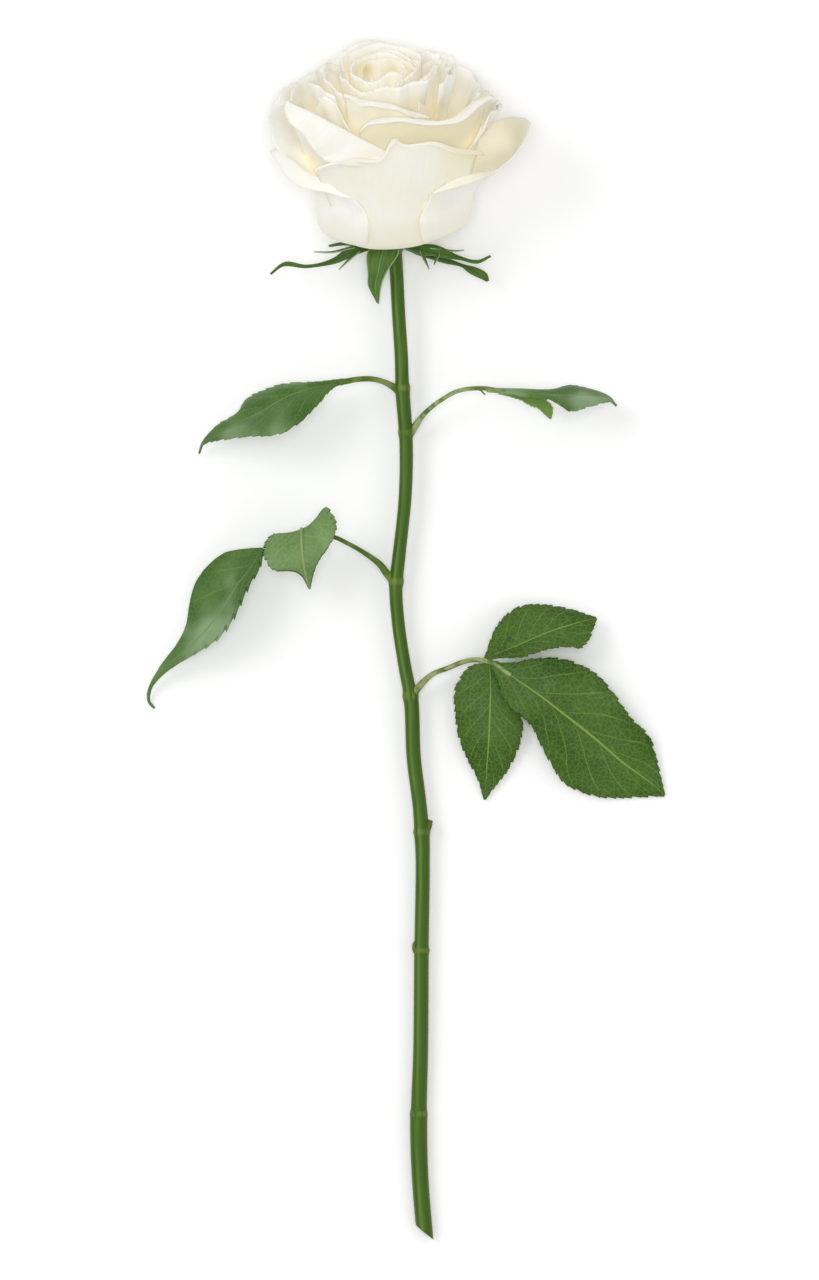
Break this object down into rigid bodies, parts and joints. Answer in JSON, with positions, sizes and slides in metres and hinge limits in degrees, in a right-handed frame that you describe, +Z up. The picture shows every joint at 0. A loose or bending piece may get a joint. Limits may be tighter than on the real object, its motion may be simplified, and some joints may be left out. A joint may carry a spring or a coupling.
{
  "type": "cut rose",
  "caption": "Cut white rose lying on a surface: slender green stem with toothed leaflets, spread sepals and a full, half-open layered bloom.",
  "frame": {"origin": "middle of the footprint on the surface that the rose lies on", "axes": "+Y along the stem from its cut end towards the bloom, +Z up from the surface, +X to the right seen from above"},
  "size_m": [0.1868, 0.4308, 0.07],
  "materials": {
    "stem_green": "satin, fresh green bark",
    "sepal_green": "soft matte leaf",
    "petal_white": "velvety matte, creamy white",
    "leaf_green": "satin leaf with net veins"
  },
  "bodies": {
    "root": {"stem": "stem_green", "calyx": "sepal_green", "bloom": "petal_white", "leaf_upper_left": "leaf_green", "leaf_upper_right": "leaf_green", "leaf_middle_left": "leaf_green", "leaf_lower_right": "leaf_green"}
  },
  "joints": []
}
